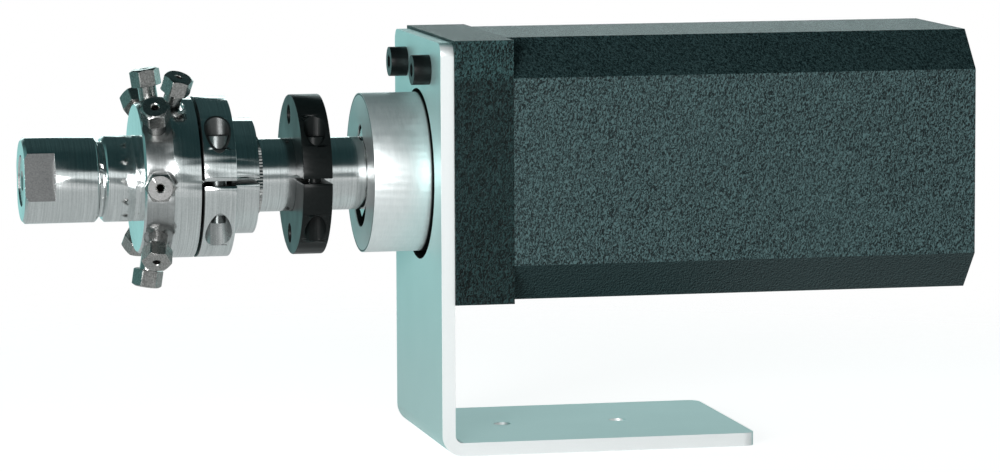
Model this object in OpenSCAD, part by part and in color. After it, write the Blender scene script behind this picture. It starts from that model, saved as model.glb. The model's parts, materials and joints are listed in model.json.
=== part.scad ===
// Motor-driven rotary selector valve on a stand-off, with an Oldham coupling inside its adapter.
// The origin is the middle of the two foot holes, on the underside of the foot.
// +X runs along the shaft from the valve to the actuator, +Z is up.

/* [Bracket] */
// Thickness of the bracket plate
plate_t = 3.175; // [2.5:0.025:4]
// Width of the bracket across the shaft
bracket_w = 57; // [54:1:70]
// Height of the shaft axis above the underside of the foot
axis_h = 65; // [60:1:80]
// Height of the leg's top edge above the shaft axis
leg_top = 32.5; // [31:0.5:40]
// Length of the foot from the leg's outer face
foot_l = 76.2; // [70:0.1:90]
// Outer radius of the bend
bend_r = 5; // [4:0.5:8]
// Radius of the bracket's free corners
bracket_corner_r = 3; // [1:0.5:6]
// Distance from the leg's outer face to the first foot hole
foot_hole_x = 20.3; // [15:0.1:25]
// Distance between the two foot holes
foot_hole_gap = 28.6; // [25:0.1:35]
// Diameter of the foot holes
foot_hole_d = 4.3; // [3:0.1:6]
// Diameter of the leg's hole round the adapter
leg_bore_d = 40.9; // [39:0.1:44]
// Drop of that hole's centre below the shaft axis
leg_bore_drop = 0.55; // [0:0.05:1]
// Sideways distance of each leg screw from the shaft axis
leg_screw_y = 14.3; // [12:0.1:18]
// Height of the leg screws above the shaft axis
leg_screw_z = 25.4; // [24:0.1:27]

/* [Actuator] */
// Depth of the actuator housing, front to back
housing_w = 58.4; // [56:0.2:66]
// Height of the actuator housing
housing_h = 62.2; // [60:0.2:70]
// Height of the housing's middle above the shaft axis
housing_mid_z = 2; // [0:0.5:3]
// Size of the housing's corner chamfers
housing_chamfer = 9; // [7:0.5:11]
// Length of the square front cap
cap_l = 14.2; // [13:0.1:16]
// Length of the eight-sided shell
shell_l = 112.8; // [104:0.1:130]
// Thickness of the rear cover
rear_t = 3; // [3:0.5:5]
// Depth of the rear cover's outer face inside the shell's end
rear_recess = 1; // [0.5:0.1:2]
// Wall thickness of cap and shell
housing_wall = 2.5; // [2:0.1:3]

/* [Adapter and tube] */
// Outer diameter of the adapter, the collars and the valve body
ring_d = 38.1; // [38.1:0.1:38.5]
// Length of the adapter in front of the leg
adapter_l = 14; // [13:0.5:20]
// Outer diameter of the stand-off tube
tube_d = 17.46; // [17:0.02:17.8]
// Inner diameter of the stand-off tube
tube_bore_d = 13; // [11:0.5:14]
// Diameter of the drive shaft inside the tube
shaft_d = 6.35; // [5:0.05:6.35]

/* [Oldham coupling] */
// Outer diameter of the coupling's hubs and disc
coupling_d = 19; // [17:0.5:19.5]
// Thickness of the sliding disc
disc_t = 6; // [5.5:0.5:6]
// Width of each hub's tongue
tongue_w = 5; // [4:0.5:6]
// Height of each hub's tongue
tongue_h = 1.8; // [1.5:0.1:1.8]
// Side clearance between a tongue and its slot
tongue_gap = 0.03; // [0.02:0.01:0.08]

/* [Split collar] */
// Thickness of the split collar
collar_t = 7; // [6:0.5:8]
// Distance from the leg's outer face to the collar's near face
collar_x = 24; // [22:0.5:27]
// Gap between the two collar halves
collar_gap = 1.2; // [0.8:0.1:2]
// Diameter of the circle through the collar's face holes
collar_pcd = 28.6; // [28:0.1:29]
// Diameter of the collar's face holes
collar_hole_d = 4.6; // [3:0.1:4.8]

/* [Valve head] */
// Number of ports round the valve body
port_count = 8; // [4:1:8]
// Lean of each port away from the clamp, in degrees
port_lean = 8.5; // [0:0.5:10]
// Width across the flats of each fitting nut
nut_af = 6.35; // [5:0.05:6.5]
// Radius of the nuts' outer faces from the shaft axis
nut_top_r = 26; // [25:0.5:28]
// Diameter of the hole for the tubing through each nut
port_hole_d = 1.7; // [1.2:0.1:2]
// Diameter of the neck and the end cap
neck_d = 20.4; // [18:0.2:22]
// Distance between the end cap's two wrench flats
flat_af = 17; // [15:0.2:18]

/* [Hidden] */
$fn = 96;

// A cut runs this far past the face it opens, and touching rings keep the fine gap.
past = 0.5;
fine = 0.02;

// Stations along the shaft, measured from the leg's outer face
leg_x = -(foot_hole_x + foot_hole_gap / 2);
cap_x = plate_t;
cap_wall = 4.2;
cap_inside_x = cap_x + cap_wall;
shell_x = cap_x + cap_l;
rear_x = shell_x + shell_l;
cover_face_x = rear_x - rear_recess;
cover_x = cover_face_x - rear_t;
lip_l = 4;
adapter_x = -adapter_l;
chamber_x = -7.5;
tube_end_x = -8;
hub_end_x = -40.5;
hub_x = -46.7;
ring_x = -54.5;
body_x = -55.1;
band_x = -61.4;
face_x = -68.2;
neck_x = -76.5;
groove_l = 1.1;
end_x = -95.3;
tube_start_x = -46.4;

// Radii
ring_r = ring_d / 2;
tube_r = tube_d / 2;
shaft_r = shaft_d / 2;
neck_r = neck_d / 2;
coupling_r = coupling_d / 2;
chamber_r = 11;
spigot_r = 15;
clamp_bore_r = 12;
hub_r = 13.7;

// Turned bar or ring along the shaft, from station x0 to station x1
module turned(x0, x1, r, bore = 0) {
    translate([x0, 0, 0]) rotate([0, 90, 0]) difference() {
        cylinder(h = x1 - x0, r = r);
        if (bore > 0) translate([0, 0, -past]) cylinder(h = x1 - x0 + 2 * past, r = bore);
    }
}

// Cone along the shaft
module tapered(x0, x1, r0, r1) {
    translate([x0, 0, 0]) rotate([0, 90, 0]) cylinder(h = x1 - x0, r1 = r0, r2 = r1);
}

// Bar along the shaft, centred on the point (y, z)
module bar(x0, x1, y, z, r) {
    translate([x0, y, z]) rotate([0, 90, 0]) cylinder(h = x1 - x0, r = r, $fn = 48);
}

// Puts the shaft axis at its height and the leg's outer face at its station
module at_shaft() {
    translate([leg_x, 0, axis_h]) children();
}

// Local +Z points away from the shaft at angle a, where 0 is -Y and 90 is up
module radial(a) {
    rotate([90 - a, 0, 0]) children();
}

// Socket-head screw along local +Z, with its head below z = 0 and its shank above
module socket_screw(shank_r, shank_l, head_r, head_h, key_af) {
    difference() {
        union() {
            translate([0, 0, -head_h]) cylinder(h = head_h, r = head_r, $fn = 48);
            cylinder(h = shank_l, r = shank_r, $fn = 32);
        }
        translate([0, 0, -head_h - past])
            cylinder(h = head_h / 2 + past, d = key_af / cos(30), $fn = 6);
    }
}

// Points of the housing's eight-sided section, set in by d from the outside
function octagon(d) =
    let (
        w = housing_w / 2 - d,
        h = housing_h / 2 - d,
        c = housing_chamfer - d * (2 - sqrt(2))
    ) [
        [-w, -h + c], [-w + c, -h], [w - c, -h], [w, -h + c],
        [w, h - c], [w - c, h], [-w + c, h], [-w, h - c]
    ];

// Eight-sided prism along the shaft, set in by d from the housing's outside
module octagon_bar(x0, x1, d) {
    translate([x0, 0, housing_mid_z]) rotate([90, 0, 90])
        linear_extrude(height = x1 - x0) polygon(octagon(d));
}

// ---- Bracket ----

// Corner to cut away, so that radius r is left on the inside of its +X +Y quarter
module corner_cut(r, h) {
    difference() {
        cube([r + past, r + past, h]);
        translate([0, 0, -past]) cylinder(h = h + 2 * past, r = r, $fn = 48);
    }
}

module bracket_bend() {
    translate([bend_r, 0, bend_r - axis_h]) rotate([90, 0, 0]) difference() {
        cylinder(h = bracket_w, r = bend_r, center = true);
        cylinder(h = bracket_w + 1, r = bend_r - plate_t, center = true);
        translate([0, -bend_r, -bracket_w]) cube([bend_r, 2 * bend_r, 2 * bracket_w]);
        translate([-bend_r, 0, -bracket_w]) cube([2 * bend_r, bend_r, 2 * bracket_w]);
    }
}

module bracket() {
    corner_at = bracket_w / 2 - bracket_corner_r;
    color("#b9cfcc") at_shaft() difference() {
        union() {
            translate([0, -bracket_w / 2, bend_r - axis_h])
                cube([plate_t, bracket_w, leg_top + axis_h - bend_r]);
            translate([bend_r, -bracket_w / 2, -axis_h])
                cube([foot_l - bend_r, bracket_w, plate_t]);
            bracket_bend();
        }
        translate([0, 0, -leg_bore_drop]) turned(-past, plate_t + past, leg_bore_d / 2);
        for (side = [-1, 1]) {
            bar(-past, plate_t + past, side * leg_screw_y, leg_screw_z, 2.2);
            translate([-past, side * corner_at, leg_top - bracket_corner_r])
                mirror([0, side < 0 ? 1 : 0, 0]) rotate([90, 0, 90])
                    corner_cut(bracket_corner_r, plate_t + 2 * past);
            translate([foot_l - bracket_corner_r, side * corner_at, -axis_h - past])
                mirror([0, side < 0 ? 1 : 0, 0])
                    corner_cut(bracket_corner_r, plate_t + 2 * past);
        }
        for (i = [0, 1])
            translate([foot_hole_x + i * foot_hole_gap, 0, -axis_h - past])
                cylinder(h = plate_t + 2 * past, d = foot_hole_d);
    }
}

module bracket_screws() {
    color("#1c1d1f") at_shaft() for (side = [-1, 1])
        translate([0, side * leg_screw_y, leg_screw_z]) rotate([0, 90, 0])
            socket_screw(2, 11, 3.55, 4.2, 3);
}

// ---- Actuator housing ----

cap_boss_r = 4;
cap_boss_l = 5;
adapter_screw_r = 17;
post_places = [[-23, 22], [23, 22], [-22, -19], [22, -19]];

module front_cap() {
    color("#22302f") at_shaft() difference() {
        union() {
            difference() {
                translate([cap_x, -housing_w / 2, housing_mid_z - housing_h / 2])
                    cube([cap_l, housing_w, housing_h]);
                octagon_bar(cap_inside_x, shell_x + past, housing_wall);
            }
            for (side = [-1, 1])
                bar(cap_x + 1, cap_inside_x + cap_boss_l, side * leg_screw_y, leg_screw_z,
                    cap_boss_r);
        }
        turned(cap_x - past, cap_inside_x + past, spigot_r + fine);
        for (side = [-1, 1])
            bar(cap_x - past, cap_inside_x + cap_boss_l + past, side * leg_screw_y,
                leg_screw_z, 2 + fine);
        for (a = [45 : 90 : 315])
            rotate([a, 0, 0])
                bar(cap_x - past, cap_inside_x + past, adapter_screw_r, 0, 1.35);
        for (p = post_places) bar(cap_x + 1, cap_inside_x + past, p[0], p[1], 1.27);
    }
}

rear_screw_places = [for (y = [-23.3, 23.3]) for (z = [-20, 20]) [y, housing_mid_z + z]];
lip_t = 0.8;

module housing_shell() {
    color("#2c3a3c") at_shaft() difference() {
        union() {
            difference() {
                octagon_bar(shell_x, rear_x, 0);
                octagon_bar(shell_x + 1.4, rear_x + past, housing_wall);
            }
            octagon_bar(shell_x - lip_l, shell_x + 1.4, housing_wall + 0.1);
            for (p = rear_screw_places) intersection() {
                bar(cover_x - 8, cover_x - fine, p[0], p[1], 3.6);
                octagon_bar(cover_x - 9, cover_x, 1);
            }
        }
        octagon_bar(shell_x - lip_l - past, shell_x + 1.4 + past, housing_wall + 0.1 + lip_t);
        for (p = rear_screw_places) bar(cover_x - 6, cover_x + past, p[0], p[1], 1.5 + fine);
    }
}

power_y = 13;
power_z = 14;
serial_y = 9;
serial_z = -9;

module rear_cover() {
    color("#22302f") at_shaft() difference() {
        octagon_bar(cover_x, cover_face_x, housing_wall + 0.15);
        bar(cover_x - past, cover_face_x + past, power_y, power_z, 6);
        translate([cover_x - past, serial_y - 8.6, serial_z - 4.4])
            cube([rear_t + 2 * past, 17.2, 8.8]);
        for (p = rear_screw_places) {
            bar(cover_x - past, cover_face_x + past, p[0], p[1], 1.6);
            bar(cover_face_x - 1.8, cover_face_x + past, p[0], p[1], 2.6);
        }
    }
}

module rear_cover_screws() {
    color("#1c1d1f") at_shaft() for (p = rear_screw_places)
        translate([cover_face_x - 1.8, p[0], p[1]]) rotate([0, -90, 0])
            socket_screw(1.5, 6.5, 2.5, 1.7, 2);
}

// Round power socket: a ring round an insulator with three contact holes
module power_socket() {
    top_x = cover_face_x + 6;
    color("#3a3d40") at_shaft() difference() {
        union() {
            bar(cover_face_x, cover_face_x + 1.5, power_y, power_z, 8);
            bar(cover_x - 8, cover_face_x + past, power_y, power_z, 5.9);
            bar(cover_face_x + 1, top_x, power_y, power_z, 6.6);
        }
        difference() {
            bar(top_x - 1.2, top_x + past, power_y, power_z, 5.6);
            bar(top_x - 2, top_x - 0.6, power_y, power_z, 4.8);
        }
        for (a = [90 : 120 : 330])
            bar(top_x - 6, top_x + past, power_y + 2.6 * cos(a), power_z + 2.6 * sin(a), 0.7);
    }
}

// Nine-way serial socket: flange, five-sided shell, two hexagonal posts and nine contact holes
module serial_socket() {
    flange = [1, 30.8, 12.5];
    shell = [[-8.3, 4.2], [8.3, 4.2], [7, -4.2], [-7, -4.2]];
    shell_h = 6;
    pitch = 2.77;
    row = 1.42;
    color("#8d9092") at_shaft() translate([cover_face_x, serial_y, serial_z]) difference() {
        union() {
            translate([0, -flange[1] / 2, -flange[2] / 2]) cube(flange);
            translate([-14, 0, 0]) rotate([90, 0, 90])
                linear_extrude(height = 14 + shell_h) polygon(shell);
            for (side = [-1, 1]) translate([0.5, side * 12.5, 0]) rotate([0, 90, 0])
                cylinder(h = 4.5, d = 5.5, $fn = 6);
        }
        for (i = [-2 : 2]) bar(shell_h - 5, shell_h + past, i * pitch, row, 0.55);
        for (i = [-1.5 : 1.5]) bar(shell_h - 5, shell_h + past, i * pitch, -row, 0.55);
        for (side = [-1, 1]) bar(1, 5 + past, side * 12.5, 0, 1.4);
    }
}

// ---- Adapter and stand-off tube ----

tube_nut_af = 18.3;
tube_nut_x = adapter_x + 0.3;
tube_nut_l = 3;

module adapter() {
    relief_r = 8.6;
    color("#c4cbca") at_shaft() difference() {
        union() {
            turned(adapter_x, cap_x, ring_r);
            turned(cap_x - 1, cap_inside_x, spigot_r);
        }
        turned(chamber_x, cap_inside_x + past, chamber_r);
        turned(adapter_x - past, chamber_x + past, tube_r + fine);
        translate([adapter_x - past, 0, 0]) rotate([0, 90, 0])
            cylinder(h = 3.4 + past, d = (tube_nut_af + 0.3) / cos(30), $fn = 6);
        bar(adapter_x - past, adapter_x + 4.2, 1, -4.5, relief_r);
        bar(adapter_x - past, adapter_x + 4.2, 0, 9, 2.6);
        for (a = [45 : 90 : 315])
            rotate([a, 0, 0]) bar(-4, cap_x + past, adapter_screw_r, 0, 1.25 + fine);
    }
}

module adapter_screws() {
    color("#1c1d1f") at_shaft() for (a = [45 : 90 : 315]) rotate([a, 0, 0])
        translate([cap_inside_x, adapter_screw_r, 0]) rotate([0, -90, 0])
            socket_screw(1.25, 9.5, 2, 2.5, 2);
}

module tube_nut() {
    color("#9aa3a3") at_shaft() difference() {
        translate([tube_nut_x, 0, 0]) rotate([0, 90, 0])
            cylinder(h = tube_nut_l, d = tube_nut_af / cos(30), $fn = 6);
        turned(tube_nut_x - past, tube_nut_x + tube_nut_l + past, tube_r + fine);
    }
}

module standoff_tube() {
    color("#b5bcbc") at_shaft() turned(tube_start_x, tube_end_x, tube_r, tube_bore_d / 2);
}

module tube_bushings() {
    bush_l = 6;
    color("#b08d4a") at_shaft() for (x = [tube_start_x + 1, tube_end_x - bush_l - 1])
        turned(x, x + bush_l, tube_bore_d / 2 - fine, shaft_r + 0.03);
}

module spline_ring() {
    teeth = 72;
    tip_r = 9.2;
    root_r = 8.95;
    outline = [for (i = [0 : 2 * teeth - 1])
        (i % 2 == 0 ? tip_r : root_r) * [cos(180 * i / teeth), sin(180 * i / teeth)]];
    color("#a9a9a2") at_shaft() difference() {
        translate([hub_end_x, 0, 0]) rotate([90, 0, 90])
            linear_extrude(height = 1.5) polygon(outline);
        turned(hub_end_x - past, hub_end_x + 2, tube_r + fine);
    }
}

// ---- Clamp ring ----

clamp_screw_y = -14.5;
clamp_screw_x = (ring_x + hub_x) / 2;
clamp_seat_z = 7.6;
clamp_head_r = 2.6;
clamp_tail_r = 3.1;
clamp_gap = 1.3;

module clamp_ring() {
    color("#aab3b3") at_shaft() difference() {
        union() {
            turned(ring_x, hub_x, ring_r);
            turned(hub_x - 1, hub_end_x, hub_r);
        }
        turned(ring_x - past, hub_x - 0.8, clamp_bore_r);
        turned(hub_x - 2, hub_end_x + past, tube_r + fine);
        translate([ring_x - past, -ring_r - past, -clamp_gap / 2])
            cube([hub_end_x - ring_x + 2 * past, ring_r - tube_r + 3, clamp_gap]);
        for (side = [-1, 1]) translate([clamp_screw_x, clamp_screw_y, 0])
            mirror([0, 0, side < 0 ? 1 : 0]) {
                translate([0, 0, clamp_seat_z])
                    cylinder(h = ring_r, r = side > 0 ? clamp_head_r + 0.15 : clamp_tail_r);
                translate([0, 0, -past]) cylinder(h = clamp_seat_z + 1, r = 1.8);
            }
    }
}

module clamp_screw() {
    color("#c2c6c6") at_shaft() translate([clamp_screw_x, clamp_screw_y, clamp_seat_z])
        rotate([180, 0, 0]) socket_screw(1.75, 17.2, clamp_head_r, 3.4, 2.5);
}

// ---- Split collar ----

collar_screw_y = 14.55;
collar_seat_z = 7.4;
collar_hole_angle = 96;

module collar_half(up) {
    side = up ? 1 : -1;
    x0 = -collar_x - collar_t;
    color("#1d2423") at_shaft() difference() {
        turned(x0, -collar_x, ring_r, tube_r + fine);
        translate([x0 - past, -ring_r - 1, up ? -ring_r - 1 : -collar_gap / 2])
            cube([collar_t + 2 * past, 2 * ring_r + 2, ring_r + 1 + collar_gap / 2]);
        for (y = [-collar_screw_y, collar_screw_y])
            translate([x0 + collar_t / 2, y, 0]) mirror([0, 0, up ? 0 : 1]) {
                translate([0, 0, collar_seat_z]) cylinder(h = ring_r, r = 2.55);
                cylinder(h = collar_seat_z + 1, r = 1.55);
            }
        radial(side * collar_hole_angle) translate([x0 - past, 0, collar_pcd / 2])
            rotate([0, 90, 0]) cylinder(h = collar_t + 2 * past, d = collar_hole_d);
    }
}

module collar_upper_half() {
    collar_half(true);
}

module collar_lower_half() {
    collar_half(false);
}

module collar_screws() {
    color("#141516") at_shaft() for (side = [-1, 1])
        translate([-collar_x - collar_t / 2, side * collar_screw_y, -side * collar_seat_z])
            rotate([side < 0 ? 180 : 0, 0, 0]) socket_screw(1.5, 16, 2.35, 2.8, 2);
}

// ---- Gearbox ----

// Output stage and motor stage: tooth size (module), teeth on each wheel and on both pinions
out_module = 0.7;
in_module = 0.5;
out_teeth = 36;
mid_teeth = 48;
pinion_teeth = 12;
front_plate_x = 19;
rear_plate_x = 37;
plate_thick = 3;
gear_x = 23.6;
gear_w = 5;
wheel_x = 31;
wheel_w = 4;
plate_inset = 3.7;
post_r = 2.3;
mid_y = 8.3;
mid_distance = (out_teeth + pinion_teeth) * out_module / 2;
mid_z = sqrt(mid_distance * mid_distance - mid_y * mid_y);
motor_distance = (mid_teeth + pinion_teeth) * in_module / 2;
motor_y = mid_y - motor_distance;
motor_z = mid_z;
motor_r = 14.8;
motor_x = rear_plate_x + plate_thick;
motor_l = 48;
pin_r = 1.5;
motor_shaft_r = 1;
pressure_angle = 25;
backlash = 0.1;

// Angle, in degrees, that the involute has turned at pressure angle a
function involute(a) = tan(a) * 180 / PI - a;

// Half the angle that a tooth fills at radius r
function tooth_half_angle(teeth, m, r) =
    let (
        base_r = teeth * m / 2 * cos(pressure_angle),
        a = acos(min(1, base_r / r)),
        play = backlash / (teeth * m) * 180 / PI
    ) 90 / teeth - play + involute(pressure_angle) - involute(a);

// Outline of a spur gear with a tooth on the local +X axis
function gear_outline(teeth, m, steps = 4) =
    let (
        pitch_r = teeth * m / 2,
        tip_r = pitch_r + 0.9 * m,
        root_r = pitch_r - 1.15 * m,
        flank_r = max(root_r, pitch_r * cos(pressure_angle)),
        radii = [for (s = [0 : steps]) flank_r + (tip_r - flank_r) * s / steps],
        foot_half = tooth_half_angle(teeth, m, flank_r),
        root_half = foot_half + (180 / teeth - foot_half) / 4
    ) [for (i = [0 : teeth - 1]) let (c = 360 * i / teeth) each concat(
        [root_r * [cos(c - root_half), sin(c - root_half)]],
        [for (s = [0 : steps]) let (a = c - tooth_half_angle(teeth, m, radii[s]))
            radii[s] * [cos(a), sin(a)]],
        [for (s = [steps : -1 : 0]) let (a = c + tooth_half_angle(teeth, m, radii[s]))
            radii[s] * [cos(a), sin(a)]],
        [root_r * [cos(c + root_half), sin(c + root_half)]]
    )];

// Spur gear along the shaft, centred on (y, z), turned so that a tooth points at angle a
module spur_gear(x, w, y, z, teeth, m, a) {
    translate([x, y, z]) rotate([90, 0, 90]) rotate([0, 0, a])
        linear_extrude(height = w) polygon(gear_outline(teeth, m));
}

module gearbox_plate(x, shaft_hole_r, motor_hole_r) {
    difference() {
        octagon_bar(x, x + plate_thick, plate_inset);
        bar(x - past, x + plate_thick + past, 0, 0, shaft_hole_r);
        bar(x - past, x + plate_thick + past, mid_y, mid_z, pin_r + fine);
        if (motor_hole_r > 0)
            bar(x - past, x + plate_thick + past, motor_y, motor_z, motor_hole_r);
        for (p = post_places)
            bar(x - past, x + plate_thick + past, p[0], p[1], 1.35);
    }
}

module gearbox_front_plate() {
    color("#9fa3a6") at_shaft() gearbox_plate(front_plate_x, 6, 0);
}

module gearbox_rear_plate() {
    color("#9fa3a6") at_shaft() gearbox_plate(rear_plate_x, 6, 4.05);
}

module gearbox_posts() {
    color("#c0c2c4") at_shaft() for (p = post_places)
        translate([0, p[0], p[1]]) {
            turned(cap_inside_x, front_plate_x, post_r, 1.35);
            turned(front_plate_x + plate_thick, rear_plate_x, post_r, 1.35);
        }
}

module gearbox_screws() {
    color("#1c1d1f") at_shaft() for (p = post_places)
        translate([rear_plate_x + plate_thick, p[0], p[1]]) rotate([0, -90, 0])
            socket_screw(1.25, 34.5, 2.2, 2.2, 2);
}

module output_bushings() {
    color("#b08d4a") at_shaft() {
        turned(front_plate_x, front_plate_x + plate_thick, 6 - fine, 4.03);
        turned(front_plate_x + plate_thick, front_plate_x + plate_thick + 1, 7.5, 4.03);
        turned(rear_plate_x, rear_plate_x + plate_thick, 6 - fine, 3.03);
        turned(rear_plate_x - 1, rear_plate_x, 6.8, 3.03);
    }
}

module output_shaft() {
    step_x = gear_x + gear_w + 1.6;
    color("#c9cdcf") at_shaft() union() {
        turned(6.9, step_x, 4);
        turned(step_x - past, rear_plate_x + plate_thick - 0.4, 3);
    }
}

module output_gear() {
    mesh_angle = atan2(mid_z, mid_y);
    color("#c7a351") at_shaft() difference() {
        spur_gear(gear_x, gear_w, 0, 0, out_teeth, out_module, mesh_angle);
        turned(gear_x - past, gear_x + gear_w + past, 4 + fine);
    }
}

module encoder_disc() {
    disc_x = 14.4;
    slots = 8;
    color("#26282a") at_shaft() difference() {
        union() {
            turned(disc_x, disc_x + 1, 15);
            turned(disc_x - 1.2, disc_x + 1, 6.5);
        }
        turned(disc_x - 2, disc_x + 2, 4 + fine);
        for (i = [0 : slots - 1]) radial(i * 360 / slots)
            translate([disc_x - past, -0.6, 11.5]) cube([2, 1.2, 5]);
    }
}

module position_sensor() {
    slot_x = 14.9;
    color("#2e3134") at_shaft() difference() {
        translate([slot_x - 3, -3.5, -20.5]) cube([front_plate_x - slot_x + 3, 7, 8.5]);
        translate([slot_x - 1.1, -4, -16]) cube([2.2, 8, 5]);
    }
}

module intermediate_pin() {
    color("#d2d5d6") at_shaft()
        bar(front_plate_x, rear_plate_x + plate_thick, mid_y, mid_z, pin_r);
}

module intermediate_pinion() {
    gap_angle = atan2(mid_z, mid_y) + 180 + 180 / pinion_teeth;
    color("#c7a351") at_shaft() difference() {
        spur_gear(gear_x - 0.4, wheel_x - gear_x + 0.4, mid_y, mid_z, pinion_teeth, out_module,
            gap_angle);
        bar(gear_x - 1, wheel_x + past, mid_y, mid_z, pin_r + 0.03);
    }
}

module intermediate_wheel() {
    color("#c7a351") at_shaft() difference() {
        spur_gear(wheel_x, wheel_w, mid_y, mid_z, mid_teeth, in_module, 180);
        bar(wheel_x - past, wheel_x + wheel_w + past, mid_y, mid_z, pin_r + 0.03);
    }
}

// ---- Motor ----

module motor_can() {
    color("#6b6f72") at_shaft() difference() {
        union() {
            bar(motor_x, motor_x + motor_l, motor_y, motor_z, motor_r);
            bar(rear_plate_x + 1, motor_x + 1, motor_y, motor_z, 4);
        }
        bar(motor_x + 2, motor_x + motor_l + past, motor_y, motor_z, motor_r - 1.2);
        bar(rear_plate_x, motor_x + 3, motor_y, motor_z, motor_shaft_r + 0.03);
    }
}

module motor_magnets() {
    color("#33363a") at_shaft() translate([0, motor_y, motor_z])
        turned(motor_x + 7, motor_x + motor_l - 9, motor_r - 1.3, 9.5);
}

module motor_end_cap() {
    color("#1f2224") at_shaft() translate([0, motor_y, motor_z]) {
        turned(motor_x + motor_l - 3, motor_x + motor_l, motor_r - 1.3, motor_shaft_r + 0.03);
        turned(motor_x + motor_l, motor_x + motor_l + 1.6, motor_r - 1, motor_shaft_r + 0.03);
        for (side = [-1, 1])
            translate([motor_x + motor_l + 1, side * 8 - 1.5, -0.3]) cube([6, 3, 0.6]);
    }
}

module motor_shaft() {
    color("#d2d5d6") at_shaft()
        bar(wheel_x - 0.4, motor_x + motor_l + 1.2, motor_y, motor_z, motor_shaft_r);
}

module motor_armature() {
    color("#a8612c") at_shaft() translate([0, motor_y, motor_z])
        turned(motor_x + 9, motor_x + motor_l - 11, 9, motor_shaft_r + fine);
}

module motor_pinion() {
    color("#c7a351") at_shaft() difference() {
        spur_gear(wheel_x - 0.2, wheel_w + 0.6, motor_y, motor_z, pinion_teeth, in_module,
            180 / pinion_teeth);
        bar(wheel_x - 1, wheel_x + wheel_w + 1, motor_y, motor_z, motor_shaft_r + fine);
    }
}

// ---- Control board ----

board_x = 44;
board_l = 78;
board_w = 40;
board_z = -21.5;
board_t = 1.6;
board_post_places = [for (x = [4, board_l - 4]) for (y = [-16, 16]) [board_x + x, y]];

module control_board() {
    color("#2f6b3f") at_shaft() translate([board_x, -board_w / 2, board_z])
        cube([board_l, board_w, board_t]);
}

module board_posts() {
    floor_z = housing_mid_z - housing_h / 2 + housing_wall;
    color("#c9cdcf") at_shaft() for (p = board_post_places)
        translate([p[0], p[1], floor_z]) cylinder(h = board_z - floor_z, r = 2.2, $fn = 48);
}

module board_parts() {
    top_z = board_z + board_t;
    capacitor_r = 4;
    color("#24262a") at_shaft() translate([board_x, 0, top_z]) {
        translate([20, -7, 0]) cube([14, 14, 2]);
        translate([44, -14, 0]) cube([18, 7, 3.5]);
        translate([66, 2, 0]) cube([8, 16, 6]);
        for (i = [0 : 2]) translate([42 + i * 9.5, 10, 0])
            cylinder(h = 9, r = capacitor_r, $fn = 48);
        translate([6, -12, 0]) cube([5, 24, 8]);
    }
}

// ---- Oldham coupling ----

disc_x = -0.3;
hub_gap = 0.2;
hub_l = 6.5;
slot_h = tongue_h + 0.2;

// Hub with a tongue across its +X face, its flank parallel to Y
module tongued_hub(bore_r, bore_l) {
    difference() {
        union() {
            turned(0, hub_l, coupling_r);
            intersection() {
                turned(hub_l - 1, hub_l + tongue_h, coupling_r);
                translate([0, -coupling_r, -tongue_w / 2])
                    cube([hub_l + tongue_h, coupling_d, tongue_w]);
            }
        }
        turned(-past, bore_l, bore_r);
        translate([hub_l / 2, 0, 0]) cylinder(h = coupling_d, r = 1.25, $fn = 32);
    }
}

module driven_hub() {
    color("#8f979a") at_shaft() translate([disc_x - hub_gap - hub_l, 0, 0])
        tongued_hub(shaft_r + fine, hub_l - 0.7);
}

module driver_hub() {
    color("#8f979a") at_shaft() translate([disc_x + disc_t + hub_gap + hub_l, 0, 0])
        rotate([90, 0, 0]) mirror([1, 0, 0]) tongued_hub(4 + fine, hub_l - 0.7);
}

module oldham_disc() {
    slot_w = tongue_w + 2 * tongue_gap;
    color("#e8e4d6") at_shaft() difference() {
        turned(disc_x, disc_x + disc_t, coupling_r, 2);
        translate([disc_x - past, -coupling_r - 1, -slot_w / 2])
            cube([slot_h - hub_gap + past, coupling_d + 2, slot_w]);
        translate([disc_x + disc_t - slot_h + hub_gap, -slot_w / 2, -coupling_r - 1])
            cube([slot_h + past, slot_w, coupling_d + 2]);
    }
}

// ---- Drive shaft and valve rotor ----

rotor_r = 7;
rotor_x = -67.1;
carrier_x = -59.6;
carrier_end_x = -55.4;
tang_w = 3;
tang_l = 2.6;

module drive_shaft() {
    tang_x = carrier_end_x - tang_l;
    color("#c9cdcf") at_shaft() union() {
        turned(carrier_end_x + 0.2, disc_x - hub_gap - 0.9, shaft_r);
        intersection() {
            turned(tang_x + 0.3, carrier_end_x + 1, shaft_r);
            translate([tang_x, -tang_w / 2, -shaft_r])
                cube([tang_l + 1, tang_w, 2 * shaft_r]);
        }
    }
}

module rotor_carrier() {
    slot_w = tang_w + 0.08;
    color("#9aa0a3") at_shaft() difference() {
        turned(carrier_x, carrier_end_x, rotor_r - 0.1);
        translate([carrier_end_x - tang_l, -slot_w / 2, -shaft_r - 0.4])
            cube([tang_l + past, slot_w, 2 * shaft_r + 0.8]);
    }
}

module valve_rotor() {
    groove_w = 0.8;
    color("#d9cfae") at_shaft() difference() {
        turned(rotor_x, carrier_x, rotor_r);
        translate([port_inner_x - groove_w / 2, -rotor_r - 1, -groove_w / 2])
            cube([groove_w, rotor_r, groove_w]);
        turned(rotor_x - past, port_inner_x + groove_w / 2, groove_w / 2);
    }
}

// ---- Valve body and fittings ----

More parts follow.
